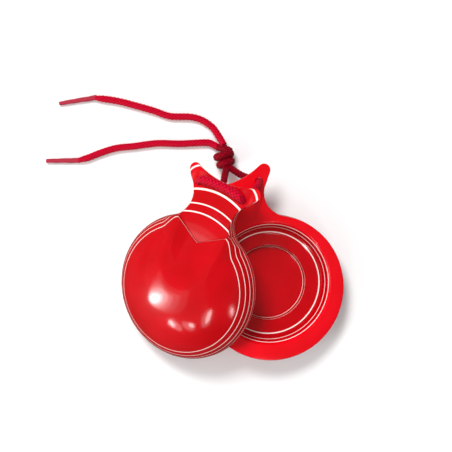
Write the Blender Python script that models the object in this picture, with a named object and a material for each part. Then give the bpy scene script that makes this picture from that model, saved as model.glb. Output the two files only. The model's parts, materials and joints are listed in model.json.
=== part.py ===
"""A pair of castanets: two carved laminated shells tied at their ears by a knotted cord.

Each shell is a stack of flat sheets, thick red ones with thin white ones between them, glued up
and then carved, so every sheet is a part of its own. The rear shell lies on its dome with its
hollow up, and the front shell leans on it with its dome up. Lengths here are in millimetres
until they reach Blender, which works in metres.
"""
import math

import bmesh
import bpy
from mathutils import Matrix, Vector
from mathutils.geometry import delaunay_2d_cdt

MM = 0.001

# ---- Shell outline, on its inner plane: +Y to the ears, +Z to the dome ----
BODY_RADIUS = 37.5
BODY_CENTRE_Y = -0.5
NECK_HALF_WIDTH = 12.5
NECK_Y = 42.3
EAR_TIP_X = 17.2
EAR_TIP_Y = 57.4
EAR_TIP_RADIUS = 3.3
NOTCH_Y = 57.1
HOLE_X = 12.6
HOLE_Y = 53.0
HOLE_RADIUS = 2.1
HOLE_SIDES = 6
HOLLOW_SIDES = 20

# ---- Shell thickness ----
RIM_ROUND_HEIGHT = 1.5
RIM_ROUND_INSET = 0.7
DOME_RISE = 17.9
DOME_POWER = 1.82
SHEET_BOTTOMS = (0.86, 2.96, 5.06, 7.16, 9.26)
SHEET_THICKNESS = 0.26
GLUE_LINE = 0.05

# ---- The V that the dome ends in above the neck ----
V_POINT_Y = 25.2
V_SLOPE = 0.6
V_HALF_WIDTH = 14.0
V_STEP_WIDTH = 0.3
V_FACE_HEIGHT = 10.6
V_FACE_SLOPE = 0.4
V_FACE_CROWN = 0.017
NECK_REACH = 5.4

# ---- Hollow: depth against distance from its centre ----
HOLLOW_CENTRE_Y = 1.9
HOLLOW_PROFILE = ((31.6, 0.0), (31.0, 0.4), (30.1, 1.1), (28.9, 3.1), (27.5, 4.6), (25.4, 5.6), (19.4, 6.7),
                  (18.7, 9.4), (17.9, 9.9), (9.0, 10.2))

# Height of the neck's outer face against distance along it, ears last
NECK_PROFILE = ((24.0, 9.05), (31.0, 8.85), (36.0, 8.25), (39.6, 7.3), (43.8, 5.2), (47.0, 4.2), (49.6, 3.5),
                (52.6, 2.78), (56.0, 2.25), (63.0, 1.8), (72.0, 1.6))
NECK_CROWN = 0.0165

# Each ear also slopes down towards its tip, along a slanting direction
EAR_ACROSS, EAR_ALONG = 0.8, 0.6
EAR_ROUND = 0.06
EAR_WIDTH = 6.0
EAR_END = 11.1
EAR_LOW = 0.35
EAR_GAIN = 0.0484

# ---- Where the shells rest: inner plane's centre, its normal's sideways lean, turn of the ears ----
REAR_PLACE = (20.45, -12.73, 19.72)
REAR_LEAN = (0.14, -0.045)
REAR_TURN = -20.6
FRONT_PLACE = (-22.09, -11.65, 19.87)
FRONT_LEAN = (-0.41, -0.118)
FRONT_TURN = 19.6
EAR_LINE_Y = 61.2

# ---- Hinges: where the rear ear's edge meets the front shell, and the middle of the front ears ----
TILT_HINGE = (-17.62, 33.92, 27.84)
TURN_HINGE = (-1.70, 43.57, 36.32)

# ---- Cord ----
CORD_RADIUS = 1.75
CROSSING_RADIUS = 1.5
BRIDGE_LIFT = 4.2
KNOT_PLACE = (-4.08, 54.05, 5.25)
KNOT_SIZE = (5.9, 6.0, 4.9)
LEFT_BOWS = (4, 6)
RIGHT_BOWS = (6, 6)
# Behind the rear shell's ears, in its own frame, from the hole's mouth to the knot
REAR_STRAND_LEFT = ((12.6, 53, 1.0), (12.6, 53, 2.4), (11.4, 53.9, 5.0), (7.2, 56.2, 7.4), (3.4, 58.4, 9.6),
                    (1.2, 61.2, 12.6), (-0.6, 63.0, 15.6))
REAR_STRAND_RIGHT = ((-12.6, 53, 1.0), (-12.6, 53, 2.4), (-11.8, 54.2, 5.0), (-9.6, 55.9, 8.4),
                     (-7.2, 58.2, 11.6), (-5.6, 60.4, 14.0), (-4.7, 61.9, 15.6))
TAIL_UPPER = ((-4.38, 60.95, 5.0), (-7.08, 65.75, 3.4), (-10.39, 70.45, 2.1), (-15.79, 74.15, 1.85),
              (-21.89, 75.85, 1.85), (-32.59, 76.25, 1.85), (-40.69, 78.95, 1.85), (-50.09, 81.65, 1.85),
              (-60.79, 84.35, 1.85), (-72.18, 85.95, 1.85))
TAIL_LOWER = ((-7.38, 59.85, 2.4), (-10.19, 61.45, 1.95), (-13.79, 62.35, 1.85), (-27.19, 61.75, 1.85),
              (-39.38, 61.95, 1.85), (-51.38, 60.45, 1.85), (-60.79, 59.45, 1.85), (-68.88, 57.05, 1.85),
              (-75.58, 54.45, 1.85), (-80.88, 53.05, 1.85))
AGLET_UPPER = ((-72.53, 85.97, 1.4), (-91.08, 82.95, 1.4))
AGLET_LOWER = ((-81.23, 53.02, 1.4), (-97.98, 52.75, 1.4))
AGLET_RADIUS = 1.25
AGLET_TIP_RADIUS = 0.9
JOINT_GAP = 0.3

RED = (0.72, 0.020, 0.022)
CREAM = (0.86, 0.78, 0.74)
CRIMSON = (0.40, 0.006, 0.030)
DULL_CRIMSON = (0.26, 0.020, 0.050)


def arc(centre, radius, start, end, steps):
    """Points on an arc from one angle to another, in degrees, without the last one."""
    points = []
    for step in range(steps):
        angle = math.radians(start + (end - start) * step / steps)
        points.append(Vector((centre[0] + radius * math.cos(angle), centre[1] + radius * math.sin(angle))))
    return points


def half_outline(detail):
    """The right half of the outline, from the bottom to the notch, as tangent arcs and one line."""
    body = Vector((0, BODY_CENTRE_Y))
    rise = NECK_Y - BODY_CENTRE_Y
    spare = BODY_RADIUS - NECK_HALF_WIDTH
    fillet_radius = (NECK_HALF_WIDTH ** 2 + rise ** 2 - BODY_RADIUS ** 2) / (2 * spare)
    fillet = Vector((NECK_HALF_WIDTH + fillet_radius, NECK_Y))
    tip = Vector((EAR_TIP_X, EAR_TIP_Y))
    body_end = math.degrees(math.atan2(fillet.y - body.y, fillet.x - body.x))
    to_tip = tip - fillet
    lean = math.degrees(math.acos((fillet_radius + EAR_TIP_RADIUS) / to_tip.length))
    line_normal = math.degrees(math.atan2(to_tip.y, to_tip.x)) + lean
    drop = EAR_TIP_Y - NOTCH_Y
    notch_radius = (EAR_TIP_X ** 2 + drop ** 2 - EAR_TIP_RADIUS ** 2) / (2 * (EAR_TIP_RADIUS + drop))
    notch = Vector((0, NOTCH_Y + notch_radius))
    notch_start = math.degrees(math.atan2(tip.y - notch.y, tip.x - notch.x))
    points = arc(body, BODY_RADIUS, -90, body_end, 8 * detail)
    points += arc(fillet, fillet_radius, body_end + 180, line_normal, 3 * detail)
    points += arc(fillet, fillet_radius, line_normal, line_normal - 1, 1)
    points += arc(tip, EAR_TIP_RADIUS, line_normal - 180, notch_start + 180, 4 * detail)
    points += arc(notch, notch_radius, notch_start, -90, 2 * detail)
    points.append(Vector((0, NOTCH_Y)))
    return points


def outline(detail):
    """The whole outline, anticlockwise from the bottom."""
    right = half_outline(detail)
    left = [Vector((-p.x, p.y)) for p in reversed(right[1:-1])]
    return right + left


def inset(points, distance):
    """A closed anticlockwise outline moved inwards."""
    moved = []
    for index, point in enumerate(points):
        along = points[(index + 1) % len(points)] - points[index - 1]
        moved.append(point + Vector((-along.y, along.x)).normalized() * distance)
    return moved


def smooth_steps(table, value):
    """Read a table of (place, height) pairs at a place, easing between its slopes."""
    if value <= table[0][0]:
        return table[0][1]
    if value >= table[-1][0]:
        return table[-1][1]
    slopes = []
    for index in range(len(table)):
        before = table[max(index - 1, 0)]
        after = table[min(index + 1, len(table) - 1)]
        slopes.append((after[1] - before[1]) / (after[0] - before[0]))
    for index in range(len(table) - 1):
        low, high = table[index], table[index + 1]
        if value <= high[0]:
            width = high[0] - low[0]
            t = (value - low[0]) / width
            bend = t * t * (3 - 2 * t)
            ease_low = t * (1 - t) ** 2 * slopes[index] * width
            ease_high = t * t * (1 - t) * slopes[index + 1] * width
            return low[1] + (high[1] - low[1]) * bend + ease_low - ease_high
    return table[-1][1]


def smooth_min(a, b, width):
    """The smaller of two heights, rounded over where they meet."""
    reach = max(width - abs(a - b), 0) / width
    return min(a, b) - reach * reach * width / 4


def edge_distance(x, y, edge):
    """How far a point lies inside a closed outline; negative outside it."""
    nearest = 1e9
    inside = False
    for index, b in enumerate(edge):
        a = edge[index - 1]
        run = b - a
        t = ((x - a.x) * run.x + (y - a.y) * run.y) / run.length_squared
        t = min(max(t, 0), 1)
        nearest = min(nearest, math.hypot(x - a.x - run.x * t, y - a.y - run.y * t))
        if (a.y > y) != (b.y > y) and x < a.x + (y - a.y) * run.x / run.y:
            inside = not inside
    return nearest if inside else -nearest


def v_line(x):
    return V_POINT_Y + V_SLOPE * abs(x)


def neck_height(x, y):
    out, up = abs(x) - HOLE_X, y - HOLE_Y
    aside = min(abs(EAR_ACROSS * up - EAR_ALONG * out), EAR_WIDTH)
    towards_tip = EAR_ACROSS * out + EAR_ALONG * up + EAR_ROUND * aside * aside
    ear = EAR_LOW + EAR_GAIN * max(EAR_END - towards_tip, 0) ** 2
    return smooth_min(smooth_steps(NECK_PROFILE, y + NECK_CROWN * x * x), ear, 0.6)


def bulge_height(x, y):
    """The dome's own curve, which reaches further out towards the neck."""
    angle = abs(math.degrees(math.atan2(x, y - BODY_CENTRE_Y)))
    blend = min(max((40 - angle) / 20, 0), 1)
    reach = BODY_RADIUS + NECK_REACH * blend * blend * (3 - 2 * blend)
    ratio = min(math.hypot(x, y - BODY_CENTRE_Y) / reach, 1)
    return RIM_ROUND_HEIGHT + DOME_RISE * (1 - ratio ** DOME_POWER) ** (1 / DOME_POWER)


def outer_height(x, y, on_neck):
    """Height of the outer face above the inner plane."""
    if not on_neck:
        slope = V_FACE_HEIGHT - V_FACE_SLOPE * (y - V_POINT_Y) + V_FACE_CROWN * x * x
        return smooth_min(bulge_height(x, y), slope, 2.5)
    if abs(x) < V_HALF_WIDTH:
        return neck_height(x, y)
    return min(bulge_height(x, y), neck_height(x, y))


def hollow_depth(radius):
    """Depth of the hollow at a distance from its centre."""
    for (outer, high), (inner, low) in zip(HOLLOW_PROFILE, HOLLOW_PROFILE[1:]):
        if radius >= inner:
            return high + (low - high) * min(max((outer - radius) / (outer - inner), 0), 1)
    return HOLLOW_PROFILE[-1][1]


def circle(centre, radius, steps):
    return arc(centre, radius, 0, 360, steps)


def triangulate(loops, lines, loose):
    """Constrained triangulation of closed loops, open lines and loose points."""
    points = []
    edges = []
    for loop in loops:
        first = len(points)
        points += loop
        edges += [(first + i, first + (i + 1) % len(loop)) for i in range(len(loop))]
    for line in lines:
        first = len(points)
        points += line
        edges += [(first + i, first + i + 1) for i in range(len(line) - 1)]
    points += loose
    result = delaunay_2d_cdt(points, edges, [], 0, 1e-4)
    return result[0], result[2]


def add_face_of(bm, found, points, faces, height, flip, edge, holes):
    """Add one triangulated side of the shell, leaving out what lies outside or in a hole."""
    for face in faces:
        centre = sum((points[i] for i in face), Vector((0, 0))) / len(face)
        if edge_distance(centre.x, centre.y, edge) < 0:
            continue
        if any((centre - hole).length < HOLE_RADIUS * 0.97 for hole in holes):
            continue
        corners = []
        for i in face:
            x, y = points[i]
            key = (round(x, 3), round(y, 3), flip)
            if key not in found:
                found[key] = bm.verts.new((x, y, height(x, y)))
            corners.append(found[key])
        bm.faces.new(reversed(corners) if flip else corners)


def side_wall(bm, found, low, high):
    """Join two closed loops, given as lists of vertices, with quads."""
    count = len(low)
    for i in range(count):
        after = (i + 1) % count
        bm.faces.new((low[i], low[after], high[after], high[i]))


def shell_mesh(detail):
    """One whole carved shell as a closed mesh, in millimetres, dome up."""
    edge = outline(detail)
    floor_edge = inset(edge, RIM_ROUND_INSET)
    holes = [Vector((side * HOLE_X, HOLE_Y)) for side in (-1, 1)]
    hole_loops = [circle(hole, HOLE_RADIUS, HOLE_SIDES * detail) for hole in holes]

    def clear_of_features(point, gap):
        if edge_distance(point.x, point.y, edge) < gap:
            return False
        if abs(point.y - v_line(point.x)) < 1.0 and abs(point.x) < V_HALF_WIDTH + 1:
            return False
        return all((point - hole).length > HOLE_RADIUS + 1 for hole in holes)

    loose = []
    for distance in (0.35, 1.8):
        loose += [p for p in inset(edge, distance) if clear_of_features(p, distance * 0.8)]
    for radius, count in ((33.0, 22), (27.5, 18), (21, 14), (13, 10), (5, 5)):
        ring = circle((0, BODY_CENTRE_Y), radius, count * detail)
        loose += [p for p in ring if p.y < v_line(p.x) and clear_of_features(p, 3.6)]
    for row in range(5 * detail):
        y = 31 + 28 * row / (5 * detail)
        for column in range(-2 * detail, 2 * detail + 1):
            point = Vector((column * 6 / detail, y))
            if point.y > v_line(point.x) and clear_of_features(point, 3.6):
                loose.append(point)
    v_places = [V_HALF_WIDTH * i / (3 * detail) for i in range(-3 * detail, 3 * detail + 1)]
    v_low = [Vector((x, v_line(x) + V_STEP_WIDTH / 2)) for x in v_places]
    v_high = [Vector((x, v_line(x) - V_STEP_WIDTH / 2)) for x in v_places]

    bm = bmesh.new()
    found = {}
    boundary = {(round(p.x, 3), round(p.y, 3)) for p in edge}

    def outer(x, y):
        top = outer_height(x, y, y > v_line(x))
        if (round(x, 3), round(y, 3)) in boundary:
            return min(top, RIM_ROUND_HEIGHT)
        return top

    points, faces = triangulate([edge] + hole_loops, [v_low, v_high], loose)
    add_face_of(bm, found, points, faces, outer, False, edge, holes)

    def inner(x, y):
        return hollow_depth(math.hypot(x, y - HOLLOW_CENTRE_Y))

    rings = [circle((0, HOLLOW_CENTRE_Y), radius, HOLLOW_SIDES * detail) for radius, _ in HOLLOW_PROFILE[:-1]]
    rings.append(circle((0, HOLLOW_CENTRE_Y), HOLLOW_PROFILE[-1][0], HOLLOW_SIDES * detail // 2))
    points, faces = triangulate([floor_edge] + hole_loops + rings, [], [])
    add_face_of(bm, found, points, faces, inner, True, floor_edge, holes)

    top = [found[(round(p.x, 3), round(p.y, 3), False)] for p in edge]
    bottom = [found[(round(p.x, 3), round(p.y, 3), True)] for p in floor_edge]
    bead = []
    for point, above in zip(inset(edge, RIM_ROUND_INSET * 0.3), top):
        bead.append(bm.verts.new((point.x, point.y, above.co.z * 0.3)))
    side_wall(bm, found, bottom, bead)
    side_wall(bm, found, bead, top)
    for loop in hole_loops:
        low = [found[(round(p.x, 3), round(p.y, 3), True)] for p in loop]
        high = [found[(round(p.x, 3), round(p.y, 3), False)] for p in loop]
        side_wall(bm, found, high, low)
    return bm


def cut_layer(whole, low, high):
    """The slice of a mesh between two heights, closed with flat faces."""
    bm = whole.copy()
    for height, direction in ((low, -1), (high, 1)):
        if height is None:
            continue
        everything = bm.verts[:] + bm.edges[:] + bm.faces[:]
        bmesh.ops.bisect_plane(bm, geom=everything, dist=1e-5, plane_co=(0, 0, height),
                               plane_no=(0, 0, direction), clear_outer=True)
        rim = [e for e in bm.edges if e.is_boundary]
        bmesh.ops.triangle_fill(bm, edges=rim, use_beauty=True, normal=(0, 0, direction))
    bmesh.ops.recalc_face_normals(bm, faces=bm.faces[:])
    return bm


def frame(place, lean, turn, dome_up):
    """A shell's own frame: ears along +Y, dome along +Z, standing where it rests."""
    normal = Vector((lean[0], lean[1], math.sqrt(1 - lean[0] ** 2 - lean[1] ** 2)))
    z = normal if dome_up else -normal
    angle = math.radians(turn)
    y = Vector((math.sin(angle), math.cos(angle), 0))
    y.z = -y.dot(z) / z.z
    y.normalize()
    matrix = Matrix((y.cross(z), y, z)).transposed().to_4x4()
    matrix.translation = Vector(place)
    return matrix


def material(name, colour, roughness):
    made = bpy.data.materials.new(name)
    made.use_nodes = True
    shader = made.node_tree.nodes["Principled BSDF"]
    shader.inputs["Base Color"].default_value = (*colour, 1)
    shader.inputs["Roughness"].default_value = roughness
    shader.inputs["Metallic"].default_value = 0
    return made


def pivot(name, place):
    empty = bpy.data.objects.new(name, None)
    empty.location = Vector(place) * MM
    bpy.context.collection.objects.link(empty)
    return empty


def add_object(name, data, finish):
    piece = bpy.data.objects.new(name, data)
    data.materials.append(finish)
    bpy.context.collection.objects.link(piece)
    return piece


def add_layer(name, bm, to_world, origin, finish):
    """One slice as an object whose origin is the given point of the shell's frame."""
    mesh = bpy.data.meshes.new(name)
    bm.transform(Matrix.Scale(MM, 4) @ Matrix.Translation(-origin))
    bmesh.ops.triangulate(bm, faces=bm.faces[:])
    bm.to_mesh(mesh)
    mesh.shade_smooth()
    mesh.set_sharp_from_angle(angle=math.radians(35))
    piece = add_object(name, mesh, finish)
    place = to_world @ Matrix.Translation(origin)
    place.translation *= MM
    piece.matrix_world = place
    return piece


def add_shell(prefix, to_world, red, cream):
    """The eleven slices of one shell, a glue line apart."""
    origin = Vector((0, EAR_LINE_Y, 0))
    whole = shell_mesh(1)
    half_line = GLUE_LINE / 2
    below = None
    for number, bottom in enumerate(SHEET_BOTTOMS, 1):
        top = bottom + SHEET_THICKNESS
        red_sheet = cut_layer(whole, below, bottom - half_line)
        add_layer(f"{prefix}_red_layer_{number}", red_sheet, to_world, origin, red)
        cream_sheet = cut_layer(whole, bottom + half_line, top - half_line)
        add_layer(f"{prefix}_white_sheet_{number}", cream_sheet, to_world, origin, cream)
        below = top + half_line
    add_layer(f"{prefix}_dome_block", cut_layer(whole, below, None), to_world, origin, red)


def smooth_route(points, spacing):
    """Points every so often along a smooth curve that runs through the given ones."""
    points = [Vector(p) for p in points]
    ends = [2 * points[0] - points[1]] + points + [2 * points[-1] - points[-2]]
    fine = []
    for a, b, c, d in zip(ends, ends[1:], ends[2:], ends[3:]):
        for step in range(40):
            t = step / 40
            bend = (2 * a - 5 * b + 4 * c - d) * t * t + (3 * b - a - 3 * c + d) * t ** 3
            fine.append((2 * b + (c - a) * t + bend) / 2)
    fine.append(points[-1])
    length = sum((b - a).length for a, b in zip(fine, fine[1:]))
    count = max(round(length / spacing), 2)
    route = [fine[0]]
    travelled = 0
    for a, b in zip(fine, fine[1:]):
        travelled += (b - a).length
        if travelled >= length * len(route) / count and len(route) < count:
            route.append(b)
    route.append(fine[-1])
    return route


def add_cord(name, route, radius, finish, holder=None, radii=None):
    """A tube along a route, as a bevelled curve with closed ends."""
    curve = bpy.data.curves.new(name, "CURVE")
    curve.dimensions = "3D"
    curve.bevel_depth = radius * MM
    curve.bevel_resolution = 2
    curve.use_fill_caps = True
    spline = curve.splines.new("POLY")
    spline.points.add(len(route) - 1)
    base = Vector(holder.location) if holder else Vector((0, 0, 0))
    for index, (point, place) in enumerate(zip(spline.points, route)):
        point.co = (*(place * MM - base), 1)
        point.radius = radii[index] if radii else 1
    piece = add_object(name, curve, finish)
    piece.parent = holder
    return piece


def add_knot(finish):
    mesh = bpy.data.meshes.new("knot")
    bm = bmesh.new()
    bmesh.ops.create_uvsphere(bm, u_segments=14, v_segments=9, radius=1)
    bm.transform(Matrix.Diagonal((*KNOT_SIZE, 1)) @ Matrix.Rotation(math.radians(90), 4, "Y"))
    bm.transform(Matrix.Scale(MM, 4))
    bm.to_mesh(mesh)
    mesh.shade_smooth()
    piece = add_object("knot", mesh, finish)
    piece.location = Vector(KNOT_PLACE) * MM
    return piece


def crossing(front, rear, side, bows):
    """From the mouth of a front hole to the mouth of the rear hole it is tied to."""
    start = front @ Vector((side * HOLE_X, HOLE_Y, -JOINT_GAP))
    end = rear @ Vector((-side * HOLE_X, HOLE_Y, -JOINT_GAP))
    leave = front.to_3x3() @ Vector((0, 0, -bows[0]))
    arrive = rear.to_3x3() @ Vector((0, 0, -bows[1]))
    points = []
    for step in range(9):
        t = step / 8
        points.append(start * (1 - t) ** 3 + (start + leave) * 3 * t * (1 - t) ** 2
                      + (end + arrive) * 3 * t * t * (1 - t) + end * t ** 3)
    return points


def bridge_route():
    """Up one hole of the front shell, over its neck and down the other, in the shell's frame."""
    half = [(HOLE_X, HOLE_Y, 1.0), (HOLE_X, HOLE_Y, 2.2), (HOLE_X - 0.5, HOLE_Y + 0.4, 3.5),
            (HOLE_X - 2.2, HOLE_Y + 1.6, BRIDGE_LIFT), (5, HOLE_Y + 2.4, BRIDGE_LIFT + 0.1)]
    left = [(-x, y, z) for x, y, z in half]
    return left + [(0, HOLE_Y + 2.5, BRIDGE_LIFT + 0.1)] + half[::-1]


def main():
    for old in list(bpy.data.objects):
        bpy.data.objects.remove(old)
    red = material("red_lacquer", RED, 0.12)
    cream = material("white_sheet", CREAM, 0.25)
    crimson = material("crimson_cord", CRIMSON, 0.8)
    dull = material("pressed_cord_tip", DULL_CRIMSON, 0.6)
    rear = frame(REAR_PLACE, REAR_LEAN, REAR_TURN, False)
    front = frame(FRONT_PLACE, FRONT_LEAN, FRONT_TURN, True)
    add_shell("rear", rear, red, cream)
    add_shell("front", front, red, cream)
    add_knot(crimson)

    clap = pivot("clap_hinge_pivot", front @ Vector((0, EAR_LINE_Y, 0)))
    tilt = pivot("tilt_hinge_pivot", TILT_HINGE)
    turn = pivot("turn_hinge_pivot", TURN_HINGE)
    route = smooth_route([front @ Vector(p) for p in bridge_route()], 1.9)
    add_cord("bridge_strand", route, CROSSING_RADIUS, crimson, clap)
    add_cord("crossing_strand_left", smooth_route(crossing(front, rear, -1, LEFT_BOWS), 2.2),
             CROSSING_RADIUS, crimson, turn)
    add_cord("crossing_strand_right", smooth_route(crossing(front, rear, 1, RIGHT_BOWS), 2.6),
             CROSSING_RADIUS, crimson, tilt)
    for name, points in (("rear_strand_left", REAR_STRAND_LEFT), ("rear_strand_right", REAR_STRAND_RIGHT)):
        route = smooth_route([rear @ Vector(p) for p in points], 2.6)
        add_cord(name, route, CROSSING_RADIUS, crimson)
    for name, points in (("tail_upper", TAIL_UPPER), ("tail_lower", TAIL_LOWER)):
        add_cord(name, smooth_route(points, 6), CORD_RADIUS, crimson)
    for name, points in (("aglet_upper", AGLET_UPPER), ("aglet_lower", AGLET_LOWER)):
        radii = [0.9, 1, 1, AGLET_TIP_RADIUS / AGLET_RADIUS]
        route = [Vector(points[0]).lerp(Vector(points[1]), t) for t in (0, 0.1, 0.75, 1)]
        add_cord(name, route, AGLET_RADIUS, dull, radii=radii)


main()
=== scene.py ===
"""Looks of a knotted pair of laminated castanets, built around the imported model.

Lengths are in millimetres inside the shape functions and in metres on the objects.
"""
import json
import math

import bmesh
import bpy
import numpy as np
from mathutils import Matrix, Vector
from mathutils.geometry import delaunay_2d_cdt

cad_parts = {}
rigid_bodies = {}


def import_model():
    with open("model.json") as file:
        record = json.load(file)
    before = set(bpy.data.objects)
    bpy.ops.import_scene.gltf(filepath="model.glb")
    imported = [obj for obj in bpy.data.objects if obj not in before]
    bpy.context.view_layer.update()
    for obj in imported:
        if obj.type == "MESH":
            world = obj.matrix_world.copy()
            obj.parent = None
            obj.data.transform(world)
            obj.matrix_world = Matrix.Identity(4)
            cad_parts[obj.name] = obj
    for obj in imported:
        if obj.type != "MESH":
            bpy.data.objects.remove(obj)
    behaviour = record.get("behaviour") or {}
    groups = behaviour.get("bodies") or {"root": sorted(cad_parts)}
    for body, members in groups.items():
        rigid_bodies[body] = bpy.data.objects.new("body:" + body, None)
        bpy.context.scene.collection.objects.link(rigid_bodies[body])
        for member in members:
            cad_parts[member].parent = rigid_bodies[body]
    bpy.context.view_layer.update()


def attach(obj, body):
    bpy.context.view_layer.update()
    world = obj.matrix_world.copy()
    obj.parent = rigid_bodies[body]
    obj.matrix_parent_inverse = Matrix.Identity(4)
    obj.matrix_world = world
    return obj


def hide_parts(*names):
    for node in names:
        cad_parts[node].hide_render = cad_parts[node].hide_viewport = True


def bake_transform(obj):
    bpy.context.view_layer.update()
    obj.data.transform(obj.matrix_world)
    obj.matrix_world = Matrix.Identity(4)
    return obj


for old in list(bpy.data.objects):
    bpy.data.objects.remove(old)

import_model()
MM = 0.001

# ---------------------------------------------------------------- shell dimensions, as in the CAD
BODY_RADIUS = 37.5
BODY_CENTRE_Y = -0.5
NECK_HALF_WIDTH = 12.5
NECK_Y = 42.3
EAR_TIP_X = 17.2
EAR_TIP_Y = 57.4
EAR_TIP_RADIUS = 3.3
NOTCH_Y = 57.1
HOLE_X = 12.6
HOLE_Y = 53.0
HOLE_RADIUS = 2.1
RIM_ROUND_HEIGHT = 1.5
RIM_ROUND_INSET = 0.7
DOME_RISE = 17.9
DOME_POWER = 1.82
SHEET_BOTTOMS = (0.86, 2.96, 5.06, 7.16, 9.26)
SHEET_THICKNESS = 0.26
V_POINT_Y = 25.2
V_SLOPE = 0.6
V_HALF_WIDTH = 14.0
V_STEP_WIDTH = 0.3
V_FACE_HEIGHT = 10.6
V_FACE_SLOPE = 0.4
V_FACE_CROWN = 0.017
NECK_REACH = 5.4
HOLLOW_CENTRE_Y = 1.9
HOLLOW_PROFILE = ((31.6, 0.0), (31.0, 0.4), (30.1, 1.1), (28.9, 3.1), (27.5, 4.6), (25.4, 5.6), (19.4, 6.7),
                  (18.7, 9.4), (17.9, 9.9), (9.0, 10.2))
NECK_PROFILE = ((24.0, 9.05), (31.0, 8.85), (36.0, 8.25), (39.6, 7.3), (43.8, 5.2), (47.0, 4.2), (49.6, 3.5),
                (52.6, 2.78), (56.0, 2.25), (63.0, 1.8), (72.0, 1.6))
NECK_CROWN = 0.0165
EAR_ACROSS, EAR_ALONG = 0.8, 0.6
EAR_ROUND = 0.06
EAR_WIDTH = 6.0
EAR_END = 11.1
EAR_LOW = 0.35
EAR_GAIN = 0.0484
EDGE_SOFTNESS = 0.6
EAR_BLEND = 0.6
V_FACE_BLEND = 2.5
SHOULDER_BLEND = 0.8
SHOULDER_EASE = 2
SHOULDER_WIDENING = 0.9
BEAD_SHARE = 0.6
NECK_FADE_END, NECK_FADE_SPAN = 40, 20

REAR_PLACE = (20.45, -12.73, 19.72)
REAR_LEAN = (0.14, -0.045)
REAR_TURN = -20.6
FRONT_PLACE = (-22.09, -11.65, 19.87)
FRONT_LEAN = (-0.41, -0.118)
FRONT_TURN = 19.6

CORD_RADIUS = 1.75
STRAND_RADIUS = 1.55
LEG_RADIUS = 1.75

# ---------------------------------------------------------------- fineness of the shell's mesh
EDGE_SPACING = 0.8
HOLE_SIDES = 36
RING_SIDES = 216
# radius from, radius to, step
RING_SPACINGS = ((8.0, 17.5, 1.0), (17.5, 19.9, 0.07), (19.9, 25.0, 0.6), (25.0, 32.3, 0.16))
CORNER_EASE = 0.16
INSETS = (0.85, 1.15, 1.5, 1.95, 2.5, 3.2, 4.0)
GRID_REACH = 38
GRID_TOP = 61
GRID_ROW_STEP = 0.95
GRID_POINT_STEP = 1.1
GRID_INSET = 4.6
V_OFFSETS = (0.05, V_STEP_WIDTH / 2, 0.4, 0.7)
V_POINTS = 57
V_CLEARANCE = 1.0
V_END_CLEARANCE = 1.5
HOLE_CLEARANCE = 0.35
BEAD_STEP = 15
# a face lies outside a hole or the hollow's ring when its middle is beyond this share of the radius
HOLE_SHARE, RING_SHARE = 0.99, 0.999


# ---------------------------------------------------------------- small helpers
def shell_frame(place, lean, turn, dome_up):
    """A shell's own frame: ears along +Y, dome along +Z, standing where it rests, in millimetres."""
    normal = Vector((lean[0], lean[1], math.sqrt(1 - lean[0] ** 2 - lean[1] ** 2)))
    z = normal if dome_up else -normal
    angle = math.radians(turn)
    y = Vector((math.sin(angle), math.cos(angle), 0))
    y.z = -y.dot(z) / z.z
    y.normalize()
    matrix = Matrix((y.cross(z), y, z)).transposed().to_4x4()
    matrix.translation = Vector(place)
    return matrix


REAR = shell_frame(REAR_PLACE, REAR_LEAN, REAR_TURN, False)
FRONT = shell_frame(FRONT_PLACE, FRONT_LEAN, FRONT_TURN, True)


def linear(*srgb):
    """A linear colour from 0 to 255 display values."""
    out = []
    for value in srgb:
        v = value / 255
        out.append(v / 12.92 if v <= 0.04045 else ((v + 0.055) / 1.055) ** 2.4)
    return (*out, 1)


def link(obj):
    """Put an object in the scene, and hand it back."""
    bpy.context.scene.collection.objects.link(obj)
    return obj


# ---------------------------------------------------------------- camera
# The camera looks straight down and sees VIEW_WIDTH across at VIEW_DISTANCE, in millimetres.
CAMERA_CENTRE = (-3.162, 18.449)
CAMERA_HEIGHT = 621
VIEW_DISTANCE = 600
VIEW_WIDTH = 230.6104
SENSOR_WIDTH = 36
camera_data = bpy.data.cameras.new("camera")
camera_data.sensor_width = SENSOR_WIDTH
camera_data.lens = SENSOR_WIDTH * VIEW_DISTANCE / VIEW_WIDTH
camera = link(bpy.data.objects.new("camera", camera_data))
camera.location = (CAMERA_CENTRE[0] * MM, CAMERA_CENTRE[1] * MM, CAMERA_HEIGHT * MM)
bpy.context.scene.camera = camera


# ---------------------------------------------------------------- materials
# how dark the painted shade between the yarns is, against the cord's own colour
GROOVE_PAINTED_SHADE = 0.68


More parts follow.
